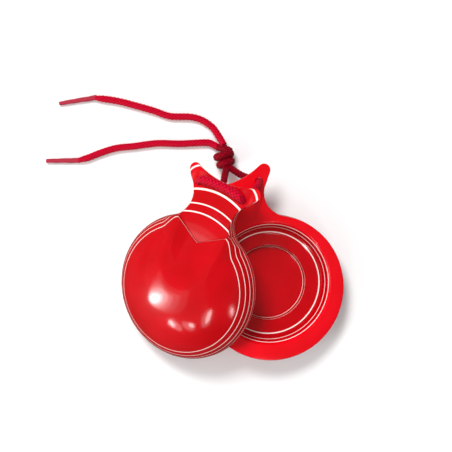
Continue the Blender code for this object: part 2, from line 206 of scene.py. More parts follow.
class Nodes:
    """A short way to write a node material."""

    def __init__(self, name):
        self.material = bpy.data.materials.new(name)
        self.material.use_nodes = True
        self.tree = self.material.node_tree
        self.shader = self.tree.nodes["Principled BSDF"]

    def add(self, kind, **settings):
        """A new node, with its own settings or its inputs set by name."""
        node = self.tree.nodes.new(kind)
        for key, value in settings.items():
            if hasattr(node, key):
                setattr(node, key, value)
            else:
                node.inputs[key.replace("_", " ")].default_value = value
        return node

    def join(self, out, into):
        """Link an output to an input."""
        self.tree.links.new(out, into)

    def set(self, **values):
        """Set the shader's own inputs by name."""
        for key, value in values.items():
            self.shader.inputs[key.replace("_", " ")].default_value = value

    def noise(self, scale, detail, roughness, stretch=None):
        """A noise that is fixed to the object."""
        where = self.add("ShaderNodeTexCoord").outputs["Object"]
        if stretch:
            mapping = self.add("ShaderNodeMapping")
            mapping.inputs["Scale"].default_value = stretch
            self.join(where, mapping.inputs["Vector"])
            where = mapping.outputs["Vector"]
        node = self.add("ShaderNodeTexNoise", Scale=scale, Detail=detail, Roughness=roughness)
        self.join(where, node.inputs["Vector"])
        return node.outputs["Fac"]

    def ramp(self, value, *stops):
        """Colours at places from 0 to 1 of a value."""
        node = self.add("ShaderNodeValToRGB")
        ramp = node.color_ramp
        while len(ramp.elements) < len(stops):
            ramp.elements.new(0.5)
        for element, (place, colour) in zip(ramp.elements, stops):
            element.position = place
            element.color = colour
        self.join(value, node.inputs["Fac"])
        return node.outputs["Color"]

    def grey(self, value, *stops):
        """Grey levels at places from 0 to 1 of a value."""
        return self.ramp(value, *[(place, (level, level, level, 1)) for place, level in stops])

    def mix(self, factor, a, b):
        """A blend of two colours."""
        node = self.add("ShaderNodeMix", data_type="RGBA")
        # inputs 0, 6 and 7 and output 2 are the ones for colours
        for socket, value in ((node.inputs[0], factor), (node.inputs[6], a), (node.inputs[7], b)):
            if hasattr(value, "is_linked"):
                self.join(value, socket)
            else:
                socket.default_value = value
        return node.outputs[2]

    def bump(self, height, strength, distance):
        """Fine relief on the shader's normal."""
        node = self.add("ShaderNodeBump", Strength=strength, Distance=distance)
        self.join(height, node.inputs["Height"])
        self.join(node.outputs["Normal"], self.shader.inputs["Normal"])


def lacquer(name, dark, light):
    """Glossy clear lacquer over dyed sheet, with faint pressed-fibre mottling."""
    m = Nodes(name)
    fibres = m.noise(900, 4, 0.6, (1, 1, 3))
    clouds = m.noise(55, 2, 0.5)
    tone = m.ramp(clouds, (0.35, dark), (0.7, light))
    mottled = m.mix(m.grey(fibres, (0.4, 0.0), (0.75, 0.10)), tone, light)
    m.join(mottled, m.shader.inputs["Base Color"])
    m.join(m.grey(fibres, (0.3, 0.36), (0.7, 0.46)), m.shader.inputs["Roughness"])
    m.set(Coat_Weight=1.0, Coat_Roughness=0.1, Coat_IOR=1.5, Specular_IOR_Level=0.08)
    return m.material


def braid(name, dark, light, painted_highlight, sheen):
    """Silky braided yarn: fine filaments, painted shade between the yarns, a painted highlight on their
    crowns.
    """
    m = Nodes(name)
    depth = m.add("ShaderNodeAttribute", attribute_name="relief").outputs["Fac"]
    filaments = m.noise(4200, 2, 0.6)
    # painted shade in the grooves, the cord's colour on the yarns, a painted highlight on their crowns
    deep = tuple(c * GROOVE_PAINTED_SHADE for c in dark[:3]) + (1,)
    body = m.ramp(depth, (0.1, deep), (0.5, dark), (0.75, light), (1.0, painted_highlight))
    streaked = m.mix(m.grey(filaments, (0.35, 0.0), (0.8, 0.35)), body, light)
    m.join(streaked, m.shader.inputs["Base Color"])
    m.join(m.grey(filaments, (0.2, 0.55), (0.8, 0.8)), m.shader.inputs["Roughness"])
    m.set(Sheen_Weight=sheen, Sheen_Roughness=0.4, Specular_IOR_Level=0.15)
    m.bump(filaments, 0.35, 0.00012)
    return m.material


# one red lacquer in three copies: lighter on the face layer, darker on the deeper layers and the dome block,
# painted light and shade for how the light falls on rim and dome
RED_PAINTED_LIGHT = lacquer("red_lacquer_painted_light", linear(226, 0, 16), linear(240, 1, 24))
RED = lacquer("red_lacquer", linear(194, 0, 12), linear(208, 1, 20))
RED_PAINTED_SHADE = lacquer("red_lacquer_painted_shade", linear(180, 0, 8), linear(194, 0, 14))
WHITE = lacquer("white_sheet", linear(248, 222, 214), linear(252, 236, 230))
CORD = braid("crimson_cord", linear(156, 0, 28), linear(194, 0, 38), linear(212, 8, 52), 0.02)
# a darker copy of the cord for the knot and the rear strands: painted shade where they lie under and beside
# the ears
CORD_PAINTED_SHADE = braid("crimson_cord_painted_shade", linear(108, 0, 16), linear(134, 0, 22), linear(152, 1, 30), 0.02)
CORD_TIP = braid("cord_tip", linear(190, 46, 68), linear(226, 90, 108), linear(248, 150, 164), 0.05)


# ---------------------------------------------------------------- shell surface
def arc(centre, radius, start, end, steps):
    """Points along an arc, in degrees, without its last one."""
    angles = np.radians(start + (end - start) * np.arange(steps) / steps)
    return np.column_stack((centre[0] + radius * np.cos(angles), centre[1] + radius * np.sin(angles)))


def heading(degrees):
    """The flat direction at an angle."""
    angle = math.radians(degrees)
    return np.array((math.cos(angle), math.sin(angle)))


def outline(step):
    """The shell's outline, anticlockwise from the bottom, with points about a step apart."""
    rise = NECK_Y - BODY_CENTRE_Y
    spare = BODY_RADIUS - NECK_HALF_WIDTH
    fillet_radius = (NECK_HALF_WIDTH ** 2 + rise ** 2 - BODY_RADIUS ** 2) / (2 * spare)
    fillet = (NECK_HALF_WIDTH + fillet_radius, NECK_Y)
    body_end = math.degrees(math.atan2(rise, fillet[0]))
    to_tip = (EAR_TIP_X - fillet[0], EAR_TIP_Y - fillet[1])
    lean = math.degrees(math.acos((fillet_radius + EAR_TIP_RADIUS) / math.hypot(*to_tip)))
    line_normal = math.degrees(math.atan2(to_tip[1], to_tip[0])) + lean
    drop = EAR_TIP_Y - NOTCH_Y
    notch_radius = (EAR_TIP_X ** 2 + drop ** 2 - EAR_TIP_RADIUS ** 2) / (2 * (EAR_TIP_RADIUS + drop))
    notch = (0, NOTCH_Y + notch_radius)
    notch_start = math.degrees(math.atan2(EAR_TIP_Y - notch[1], EAR_TIP_X))

    def steps(radius, start, end):
        return max(round(math.radians(abs(end - start)) * radius / step), 2)

    def bend(centre, radius, start, end):
        return arc(centre, radius, start, end, steps(radius, start, end))

    tip = (EAR_TIP_X, EAR_TIP_Y)
    tip_start = line_normal - 180
    body = bend((0, BODY_CENTRE_Y), BODY_RADIUS, -90, body_end)
    neck = bend(fillet, fillet_radius, body_end + 180, line_normal)
    start = np.array(fillet) + fillet_radius * heading(line_normal)
    end = np.array(tip) + EAR_TIP_RADIUS * heading(tip_start)
    count = max(round(np.linalg.norm(end - start) / step), 2)
    ear_side = start + (end - start) * (np.arange(count) / count)[:, None]
    ear_tip = bend(tip, EAR_TIP_RADIUS, tip_start, notch_start + 180)
    saddle = bend(notch, notch_radius, notch_start, -90)
    right = np.concatenate((body, neck, ear_side, ear_tip, saddle, [[0, NOTCH_Y]]))
    left = right[1:-1][::-1] * (-1, 1)
    return np.concatenate((right, left))


def inset(points, distance):
    """A closed outline moved inwards."""
    along = np.roll(points, -1, 0) - np.roll(points, 1, 0)
    inward = np.column_stack((-along[:, 1], along[:, 0]))
    return points + inward / np.linalg.norm(inward, axis=1)[:, None] * distance


def edge_distance(points, edge):
    """How far points lie inside a closed outline; negative outside it."""
    nearest = np.full(len(points), 1e9)
    inside = np.zeros(len(points), bool)
    for corner, run in zip(edge, np.roll(edge, -1, 0) - edge):
        away = points - corner
        t = np.clip((away @ run) / (run @ run), 0, 1)
        nearest = np.minimum(nearest, np.hypot(*(away - t[:, None] * run).T))
        if run[1] != 0:
            spans = (corner[1] > points[:, 1]) != (corner[1] + run[1] > points[:, 1])
            crossing = corner[0] + (points[:, 1] - corner[1]) * run[0] / run[1]
            inside ^= spans & (points[:, 0] < crossing)
    return np.where(inside, nearest, -nearest)


def eased_table(table):
    """Fine samples of a table of (place, height) pairs, easing between its slopes."""
    table = np.array(table)
    slopes = np.gradient(table[:, 1], table[:, 0])
    slopes[1:-1] = (table[2:, 1] - table[:-2, 1]) / (table[2:, 0] - table[:-2, 0])
    places = np.linspace(table[0, 0], table[-1, 0], 1200)
    i = np.clip(np.searchsorted(table[:, 0], places, side="right") - 1, 0, len(table) - 2)
    width = table[i + 1, 0] - table[i, 0]
    t = (places - table[i, 0]) / width
    rise = table[i + 1, 1] - table[i, 1]
    heights = (table[i, 1] + rise * t * t * (3 - 2 * t) + t * (1 - t) ** 2 * slopes[i] * width
               - t * t * (1 - t) * slopes[i + 1] * width)
    return places, heights


NECK_PLACES, NECK_HEIGHTS = eased_table(NECK_PROFILE)


def smooth(t):
    """An ease from 0 to 1."""
    t = np.clip(t, 0, 1)
    return t * t * (3 - 2 * t)


def smooth_min(a, b, width):
    """The smaller of two values, rounded off where they are within a width of each other."""
    reach = np.maximum(width - np.abs(a - b), 0) / width
    return np.minimum(a, b) - reach * reach * width / 4


def v_line(x):
    """Where the V of the inset lies, along the shell, at a place across it."""
    return V_POINT_Y + V_SLOPE * np.abs(x)


def outer_height(points, distance):
    """Height of the outer face, given how far each point lies inside the outline."""
    x, y = points.T
    radial = np.hypot(x, y - BODY_CENTRE_Y)
    angle = np.abs(np.degrees(np.arctan2(x, y - BODY_CENTRE_Y)))
    near_neck = smooth((NECK_FADE_END - angle) / NECK_FADE_SPAN)
    ratio = np.minimum(radial / (BODY_RADIUS + NECK_REACH * near_neck), 1)
    bulge = RIM_ROUND_HEIGHT + DOME_RISE * (1 - ratio ** DOME_POWER) ** (1 / DOME_POWER)
    out, up = np.abs(x) - HOLE_X, y - HOLE_Y
    aside = np.minimum(np.abs(EAR_ACROSS * up - EAR_ALONG * out), EAR_WIDTH)
    towards_tip = EAR_ACROSS * out + EAR_ALONG * up + EAR_ROUND * aside * aside
    ear = EAR_LOW + EAR_GAIN * np.maximum(EAR_END - towards_tip, 0) ** 2
    neck = smooth_min(np.interp(y + NECK_CROWN * x * x, NECK_PLACES, NECK_HEIGHTS), ear, EAR_BLEND)
    slope = V_FACE_HEIGHT - V_FACE_SLOPE * (y - V_POINT_Y) + V_FACE_CROWN * x * x
    dome = smooth_min(bulge, slope, V_FACE_BLEND)
    past_v = np.abs(x) - V_HALF_WIDTH
    shoulder = smooth_min(bulge, neck, SHOULDER_BLEND)
    neck = np.where(past_v > 0, neck + (shoulder - neck) * smooth(past_v / SHOULDER_EASE), neck)
    width = V_STEP_WIDTH + np.maximum(past_v, 0) * SHOULDER_WIDENING
    over = smooth((y - v_line(x)) / width + 0.5)
    base = np.minimum(RIM_ROUND_HEIGHT, BEAD_SHARE * neck)
    base = np.where(over > 0.5, base, RIM_ROUND_HEIGHT)
    away = np.clip(distance / EDGE_SOFTNESS, 0, 1)
    wall = np.sqrt(1 - (1 - away) ** 2)
    dome = RIM_ROUND_HEIGHT + (dome - RIM_ROUND_HEIGHT) * (1 - near_neck * (1 - wall))
    neck = base + (neck - base) * wall
    return dome + (neck - dome) * over


def hollow_rings():
    """Radii and depths down the hollow, with its corners eased, from its edge to near its centre."""
    table = np.array(HOLLOW_PROFILE)[::-1]
    radii = np.concatenate([np.arange(*spacing) for spacing in RING_SPACINGS])
    spread = np.linspace(-2 * CORNER_EASE, 2 * CORNER_EASE, 9)
    weights = np.exp(-(spread / CORNER_EASE) ** 2 / 2)
    total = sum(w * np.interp(radii + s, table[:, 0], table[:, 1]) for s, w in zip(spread, weights))
    return radii[::-1], (total / weights.sum())[::-1]


def triangulate(loops, lines, loose):
    """Triangles over all the points, that keep the closed loops and the open lines as edges."""
    points = []
    edges = []
    for group, closed in ((loops, True), (lines, False)):
        for loop in group:
            first = len(points)
            points += [Vector(p) for p in loop]
            edges += [(first + i, first + i + 1) for i in range(len(loop) - 1)]
            if closed:
                edges.append((first + len(loop) - 1, first))
    points += [Vector(p) for p in loose]
    result = delaunay_2d_cdt(points, edges, [], 0, 1e-5)
    return np.array([tuple(p) for p in result[0]]), result[2]


def keep_faces(points, faces, edge, holes, ring=None):
    """The faces that lie in the outline, off the holes and outside the hollow's ring."""
    centres = points[np.array(faces)].mean(1)
    kept = edge_distance(centres, edge) > 0
    for hole in holes:
        kept &= np.hypot(*(centres - hole).T) > HOLE_RADIUS * HOLE_SHARE
    if ring:
        kept &= np.hypot(centres[:, 0], centres[:, 1] - HOLLOW_CENTRE_Y) > ring
    return [face for face, keep in zip(faces, kept) if keep]


def outer_points(edge, holes):
    """Loose points over the outer face: rows along its edge and a grid inside, clear of V and holes."""
    soft = EDGE_SOFTNESS * (1 - np.cos(np.radians(np.arange(BEAD_STEP, 91, BEAD_STEP))))
    rows = []
    for row, y in enumerate(np.arange(-GRID_REACH, GRID_TOP, GRID_ROW_STEP)):
        x = np.arange(-GRID_REACH, GRID_REACH, GRID_POINT_STEP) + GRID_POINT_STEP / 2 * (row % 2)
        rows.append(np.column_stack((x, np.full(len(x), y))))
    grid = np.concatenate(rows)
    grid = grid[edge_distance(grid, edge) > GRID_INSET]
    loose = np.concatenate((*[inset(edge, d) for d in (*soft, *INSETS)], grid))
    inside = edge_distance(loose, edge) > 0.01
    off_v = np.abs(loose[:, 1] - v_line(loose[:, 0])) > V_CLEARANCE
    past_v = np.abs(loose[:, 0]) > V_HALF_WIDTH + V_END_CLEARANCE
    loose = loose[inside & (off_v | past_v)]
    for hole in holes:
        loose = loose[np.hypot(*(loose - hole).T) > HOLE_RADIUS + HOLE_CLEARANCE]
    return loose


def shell_mesh():
    """One whole carved shell as a closed fine mesh. Face material 1 marks the holes' walls."""
    edge = outline(EDGE_SPACING)
    holes = [np.array((side * HOLE_X, HOLE_Y)) for side in (-1, 1)]
    hole_loops = [arc(hole, HOLE_RADIUS, 0, 360, HOLE_SIDES) for hole in holes]
    bm = bmesh.new()
    found = {}

    def vertex(x, y, z):
        key = (round(x, 4), round(y, 4), round(z, 4))
        if key not in found:
            found[key] = bm.verts.new((x, y, z))
        return found[key]

    # outer face
    places = np.linspace(-V_HALF_WIDTH, V_HALF_WIDTH, V_POINTS)
    offsets = [-d for d in reversed(V_OFFSETS)] + list(V_OFFSETS)
    lines = [np.column_stack((places, v_line(places) + offset)) for offset in offsets]
    points, faces = triangulate([edge] + hole_loops, lines, outer_points(edge, holes))
    distance = np.maximum(edge_distance(points, edge), 0)
    heights = outer_height(points, distance)
    for face in keep_faces(points, faces, edge, holes):
        bm.faces.new([vertex(*points[i], heights[i]) for i in face])

    # flat rim and hollow
    radii, depths = hollow_rings()
    floor_edge = inset(edge, RIM_ROUND_INSET)
    first_ring = arc((0, HOLLOW_CENTRE_Y), radii[0], 0, 360, RING_SIDES)
    points, faces = triangulate([floor_edge] + hole_loops + [first_ring], [], [])
    for face in keep_faces(points, faces, floor_edge, holes, radii[0] * RING_SHARE):
        bm.faces.new([vertex(*points[i], 0) for i in reversed(face)])
    rings = [[vertex(*p, depth) for p in arc((0, HOLLOW_CENTRE_Y), radius, 0, 360, RING_SIDES)]
             for radius, depth in zip(radii, np.concatenate(([0.0], depths[1:])))]
    for outer, inner in zip(rings, rings[1:]):
        for i in range(RING_SIDES):
            after = (i + 1) % RING_SIDES
            bm.faces.new((outer[after], outer[i], inner[i], inner[after]))
    middle = vertex(0, HOLLOW_CENTRE_Y, HOLLOW_PROFILE[-1][1])
    for i in range(RING_SIDES):
        bm.faces.new((rings[-1][(i + 1) % RING_SIDES], rings[-1][i], middle))

    # rounded bead up the edge, and the holes' walls
    tops = outer_height(edge, np.zeros(len(edge)))
    bead = []
    for degrees in range(0, 91, BEAD_STEP):
        turn = math.radians(degrees)
        loop = inset(edge, RIM_ROUND_INSET * (1 - math.sin(turn))) if degrees < 90 else edge
        bead.append([vertex(*p, top * (1 - math.cos(turn))) for p, top in zip(loop, tops)])
    for low, high in zip(bead, bead[1:]):
        for i in range(len(low)):
            after = (i + 1) % len(low)
            bm.faces.new((low[i], low[after], high[after], high[i]))
    for loop in hole_loops:
        heights = outer_height(loop, np.full(len(loop), 3.0))
        low = [vertex(*p, 0) for p in loop]
        high = [vertex(*p, height) for p, height in zip(loop, heights)]
        for i in range(len(low)):
            after = (i + 1) % len(low)
            wall = bm.faces.new((high[i], high[after], low[after], low[i]))
            wall.material_index = 1
    return bm


def store_normals(bm):
    """Keep each vertex's smooth normal, apart for the carved face and for the holes' walls."""
    layers = [bm.verts.layers.float_vector.new(name) for name in ("carved", "wall")]
    for vert in bm.verts:
        for index, layer in enumerate(layers):
            total = Vector((0, 0, 0))
            for loop in vert.link_loops:
                if loop.face.material_index == index:
                    total += loop.face.normal * loop.calc_angle()
            vert[layer] = total.normalized() if total.length > 1e-9 else Vector((0, 0, 1))


def cut_whole(bm):
    """Mark every glue line on the carved surface, so that slices share their edges."""
    for bottom in SHEET_BOTTOMS:
        for height in (bottom, bottom + SHEET_THICKNESS):
            bmesh.ops.bisect_plane(bm, geom=bm.verts[:] + bm.edges[:] + bm.faces[:], dist=1e-4,
                                   plane_co=(0, 0, height), plane_no=(0, 0, 1))
    bmesh.ops.triangulate(bm, faces=[f for f in bm.faces if len(f.verts) > 4])
    bm.normal_update()


def cap(bm, height, faces_up):
    """Close a slice with flat faces inside its own cut edges. Face material 2 marks them."""
    rim = [e for e in bm.edges if e.is_boundary and all(abs(v.co.z - height) < 1e-3 for v in e.verts)]
    verts = list(dict.fromkeys(v for e in rim for v in e.verts))
    index = {v: i for i, v in enumerate(verts)}
    ends = [(index[e.verts[0]], index[e.verts[1]]) for e in rim]
    flat = np.array([v.co.xy for v in verts])
    points, _, faces, origins, _, _ = delaunay_2d_cdt([Vector(p) for p in flat], ends, [], 0, 1e-6)
    points = np.array([tuple(p) for p in points])
    original = [verts[o[0]] if o else None for o in origins]
    centres = points[np.array(faces)].mean(1)
    inside = np.zeros(len(centres), bool)
    for a, b in ends:
        (ax, ay), (bx, by) = flat[a], flat[b]
        if ay != by:
            spans = (ay > centres[:, 1]) != (by > centres[:, 1])
            inside ^= spans & (centres[:, 0] < ax + (centres[:, 1] - ay) * (bx - ax) / (by - ay))
    for face, keep in zip(faces, inside):
        if keep and None not in [original[i] for i in face]:
            corners = [original[i] for i in (face if faces_up else reversed(face))]
            if len(set(corners)) == 3:
                bm.faces.new(corners).material_index = 2


def slice_object(name, whole, low, high, to_world, finish):
    """One sheet of the stack as a closed piece that keeps the whole shell's smooth normals."""
    bm = whole.copy()
    away = []
    for face in bm.faces:
        z = face.calc_center_median().z
        if (low is not None and z < low) or (high is not None and z > high):
            away.append(face)
    bmesh.ops.delete(bm, geom=away, context="FACES")
    carved = bm.verts.layers.float_vector["carved"]
    wall = bm.verts.layers.float_vector["wall"]
    for height, faces_up in ((low, False), (high, True)):
        if height is not None:
            cap(bm, height, faces_up)
    bm.normal_update()
    normals = []
    for face in bm.faces:
        for vert in face.verts:
            if face.material_index == 2:
                normals.append(tuple(face.normal))
            else:
                normals.append(tuple(vert[wall if face.material_index else carved]))
    for face in bm.faces:
        face.smooth = True
        face.material_index = 0
    turn = to_world.to_3x3()
    normals = [turn @ Vector(n) for n in normals]
    bmesh.ops.transform(bm, matrix=Matrix.Scale(MM, 4) @ to_world, verts=bm.verts[:])
    mesh = bpy.data.meshes.new(name)
    bm.to_mesh(mesh)
    bm.free()
    mesh.normals_split_custom_set(normals)
    mesh.materials.append(finish)
    return link(bpy.data.objects.new(name, mesh))


def add_layer(prefix, kind, whole, low, high, to_world, finish):
    """Stand one carved layer in for its CAD node."""
    node = f"{prefix}_{kind}"
    piece = slice_object(f"carved_{node}", whole, low, high, to_world, finish)
    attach(piece, f"{prefix}_shell")
    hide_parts(node)


def build_shells():
    """Both shells, each a stack of red layers, white sheets and a dome block."""
    whole = shell_mesh()
    cut_whole(whole)
    store_normals(whole)
    for prefix, to_world in (("rear", REAR), ("front", FRONT)):
        below = None
        for number, bottom in enumerate(SHEET_BOTTOMS, 1):
            top = bottom + SHEET_THICKNESS
            # the face layer takes the lighter red, painted light; layers from the third on take the darker
            # red, painted shade
            red = {1: RED_PAINTED_LIGHT, 2: RED}.get(number, RED_PAINTED_SHADE)
            add_layer(prefix, f"red_layer_{number}", whole, below, bottom, to_world, red)
            add_layer(prefix, f"white_sheet_{number}", whole, bottom, top, to_world, WHITE)
            below = top
        # the dome block takes the darker red, painted shade
        add_layer(prefix, "dome_block", whole, below, None, to_world, RED_PAINTED_SHADE)


build_shells()

# ---------------------------------------------------------------- cords
KNOT_PLACE = (-4.08, 54.05, 5.25)
BRIDGE_LIFT = 4.2
BRIDGE_THINNING, BRIDGE_SPREAD = 0.04, 0.42
BRIDGE_PRESS_START, BRIDGE_PRESS_EASE = 2.5, 4
BRIDGE_WOBBLE = 0.035
JOINT_GAP = 0.3
HOLE_DEPTH = 1.4
CURVE_STEPS = 8
HOLE_SWELL, HOLE_GRIP, HOLE_EASE = 0.24, 1.2, 1.6
LEFT_BOWS = (4, 6)
RIGHT_BOWS = (6, 6)
REAR_STRAND_LEFT = ((12.6, 53, 1.0), (12.6, 53, 2.4), (11.4, 53.9, 5.0), (7.2, 56.2, 7.4), (3.4, 58.4, 9.6),
                    (1.2, 61.2, 12.6), (-0.6, 63.0, 15.6))
REAR_STRAND_RIGHT = ((-12.6, 53, 1.0), (-12.6, 53, 2.4), (-11.8, 54.2, 5.0), (-9.6, 55.9, 8.4),
                     (-7.2, 58.2, 11.6), (-5.6, 60.4, 14.0), (-4.7, 61.9, 15.6))
TAIL_UPPER = ((-4.38, 60.95, 5.0), (-7.08, 65.75, 3.4), (-10.39, 70.45, 2.1), (-15.79, 74.15, 1.85),
              (-21.89, 75.85, 1.85), (-32.59, 76.25, 1.85), (-40.69, 78.95, 1.85), (-50.09, 81.65, 1.85),
              (-60.79, 84.35, 1.85), (-72.18, 85.95, 1.85))
TAIL_LOWER = ((-7.38, 59.85, 2.4), (-10.19, 61.45, 1.95), (-13.79, 62.35, 1.85), (-27.19, 61.75, 1.85),
              (-39.38, 61.95, 1.85), (-51.38, 60.45, 1.85), (-60.79, 59.45, 1.85), (-68.88, 57.05, 1.85),
              (-75.58, 54.45, 1.85), (-80.88, 53.05, 1.85))
AGLET_UPPER = ((-72.53, 85.97, 1.4), (-91.08, 82.95, 1.4))
AGLET_LOWER = ((-81.23, 53.02, 1.4), (-97.98, 52.75, 1.4))
AGLET_RADIUS = 1.25
YARNS = 6
LAY_LENGTH = 12.0
WRAP_RADIUS = 2.05
ROPE_SIDES = 48
ROPE_STEP = 0.26
YARN_RELIEF = 0.4
YARN_PROUD = 0.12
# distance from the end of a tail, and how narrow it is there
TAIL_TAPER = ((0, 0.5, 4.0), (0.62, 0.72, 1))
# share of the length of a pressed tip, and how wide it is there
TIP_TAPER = ((0, 0.08, 0.6, 0.96, 1), (1.2, 1.1, 0.97, 0.86, 0.72))
TIP_OVERLAP = 0.07
TIP_STEP = 0.3
TIP_SIDES = 28
TIP_FLATNESS = 0.9
TIP_FIT = 0.96
TIP_RIDGES, TIP_RIDGE_TURN, TIP_RIDGE_DEPTH = 5, 0.9, 0.05
FIRST_SIDE = (0.31, 0.17, 0.93)


def smooth_route(points, spacing):
    """Even points along a smooth curve that runs through the given ones."""
    points = np.array([tuple(p) for p in points])
    ends = np.concatenate(([2 * points[0] - points[1]], points, [2 * points[-1] - points[-2]]))
    t = (np.arange(60) / 60)[:, None]
    fine = [(2 * b + (c - a) * t + (2 * a - 5 * b + 4 * c - d) * t ** 2
             + (3 * b - a - 3 * c + d) * t ** 3) / 2
            for a, b, c, d in zip(ends, ends[1:], ends[2:], ends[3:])]
    fine = np.concatenate((*fine, points[-1:]))
    along = np.concatenate(([0], np.cumsum(np.linalg.norm(np.diff(fine, axis=0), axis=1))))
    places = np.linspace(0, along[-1], max(round(along[-1] / spacing), 2) + 1)
    return np.column_stack([np.interp(places, along, fine[:, i]) for i in range(3)])


def side_vectors(route, up=None):
    """Two directions across the route at each point, carried along it without twist or held to up."""
    tangents = np.gradient(route, axis=0)
    tangents /= np.linalg.norm(tangents, axis=1)[:, None]
    across = []
    side = np.array(FIRST_SIDE if up is None else up)
    for tangent in tangents:
        if up is not None:
            side = np.array(up)
        side = side - tangent * (side @ tangent)
        side /= np.linalg.norm(side)
        across.append(side)
    across = np.array(across)
    return across, np.cross(tangents, across)


def weave(angle, along):
    """Relief from 0 to 1 of a round braid, whose yarns cross over and under one another."""
    u = YARNS * angle / (2 * math.pi) + YARNS * along / LAY_LENGTH
    v = YARNS * angle / (2 * math.pi) - YARNS * along / LAY_LENGTH
    over = (np.floor(u) + np.floor(v)) % 2 < 1
    across = np.where(over, u, v) % 1 * 2 - 1
    length = np.where(over, v, u) % 1 * 2 - 1
    return np.sqrt(1 - across ** 2) * (0.5 + 0.5 * (1 - length ** 2))


def tube_faces(rings, sides):
    """Four-sided faces between rings of vertices."""
    faces = []
    for base in range(0, (rings - 1) * sides, sides):
        for i in range(sides):
            after = (i + 1) % sides
            faces.append((base + i, base + after, base + sides + after, base + sides + i))
    return faces


def rope_shape(route, radius, up=None, wide=None, flat=None, wobble=0.0, shift=0.0):
    """Vertices, faces and relief of a braided tube.

    At each point of the route, wide scales it across up and flat scales it along up.
    shift starts the braid's pattern further on.
    """
    count = len(route)
    deep, broad = side_vectors(route, up)
    angle = np.linspace(0, 2 * math.pi, ROPE_SIDES, endpoint=False)
    step = np.linalg.norm(np.diff(route, axis=0), axis=1)
    along = np.concatenate(([0], np.cumsum(step))) + shift
    relief = weave(angle[None, :], along[:, None])
    knobs = 1 + wobble * (np.sin(along * 1.9) + np.sin(along * 3.1 + 1) * 0.6)
    reach = (radius + YARN_PROUD - YARN_RELIEF * (1 - relief)) * knobs[:, None]
    wide = np.ones(count) if wide is None else np.broadcast_to(wide, count)
    flat = np.ones(count) if flat is None else np.broadcast_to(flat, count)
    verts = (route[:, None, :] + broad[:, None, :] * (reach * np.cos(angle) * wide[:, None])[..., None]
             + deep[:, None, :] * (reach * np.sin(angle) * flat[:, None])[..., None]).reshape(-1, 3)
    faces = tube_faces(count, ROPE_SIDES)
    last = (count - 1) * ROPE_SIDES
    middle = len(verts)
    verts = np.concatenate((verts, route[:1], route[-1:]))
    for i in range(ROPE_SIDES):
        after = (i + 1) % ROPE_SIDES
        faces.append((middle, after, i))
        faces.append((middle + 1, last + i, last + after))
    return verts, faces, np.concatenate((relief.ravel(), (0.5, 0.5)))


def rope(name, shapes, finish=CORD):
    """One object from one or more braided tubes, in metres."""
    verts, faces, relief = [], [], []
    for part_verts, part_faces, part_relief in shapes:
        first = sum(len(v) for v in verts)
        verts.append(part_verts)
        faces += [tuple(first + i for i in face) for face in part_faces]
        relief.append(part_relief)
    mesh = bpy.data.meshes.new(name)
    mesh.from_pydata((np.concatenate(verts) * MM).tolist(), [], faces)
    mesh.attributes.new("relief", "FLOAT", "POINT").data.foreach_set("value", np.concatenate(relief))
    mesh.shade_smooth()
    mesh.materials.append(finish)
    mesh.update()
    return link(bpy.data.objects.new(name, mesh))


def filled_holes(count):
    """Distance from the nearer end, and the swelling that fills the holes round both ends."""
    from_end = np.minimum(np.arange(count), np.arange(count)[::-1]) * ROPE_STEP
    return from_end, 1 + HOLE_SWELL * (1 - smooth((from_end - HOLE_GRIP) / HOLE_EASE))


def crossing(side, bows):
    """From inside a front hole to inside the rear hole it is tied to, through the gap between the shells."""
    start = FRONT @ Vector((side * HOLE_X, HOLE_Y, -JOINT_GAP))
    end = REAR @ Vector((-side * HOLE_X, HOLE_Y, -JOINT_GAP))
    leave = FRONT.to_3x3() @ Vector((0, 0, -bows[0]))
    arrive = REAR.to_3x3() @ Vector((0, 0, -bows[1]))
    points = [FRONT @ Vector((side * HOLE_X, HOLE_Y, HOLE_DEPTH))]
    for step in range(CURVE_STEPS + 1):
        t = step / CURVE_STEPS
        points.append(start * (1 - t) ** 3 + (start + leave) * 3 * t * (1 - t) ** 2
                      + (end + arrive) * 3 * t * t * (1 - t) + end * t ** 3)
    points.append(REAR @ Vector((-side * HOLE_X, HOLE_Y, HOLE_DEPTH)))
    return points


def build_crossings():
    """The cord between the ears bends across all three of its joints, so each strand is three pieces."""
    for side, bows, end in ((-1, LEFT_BOWS, "left"), (1, RIGHT_BOWS, "right")):
        node = f"crossing_strand_{end}"
        route = smooth_route(crossing(side, bows), ROPE_STEP)
        swelling = filled_holes(len(route))[1]
        stops = [round(len(route) * part / 3) for part in range(4)]
        for number, (low, high) in enumerate(zip(stops, stops[1:])):
            first = max(low - 1, 0)
            last = min(high, len(route) - 1)
            swell = swelling[first:last + 1]
            shape = rope_shape(route[first:last + 1], STRAND_RADIUS, wide=swell, flat=swell,
                               shift=first * ROPE_STEP)
            piece = rope(f"{node}_{number + 1}", [shape])
            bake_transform(piece)
            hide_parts(node)


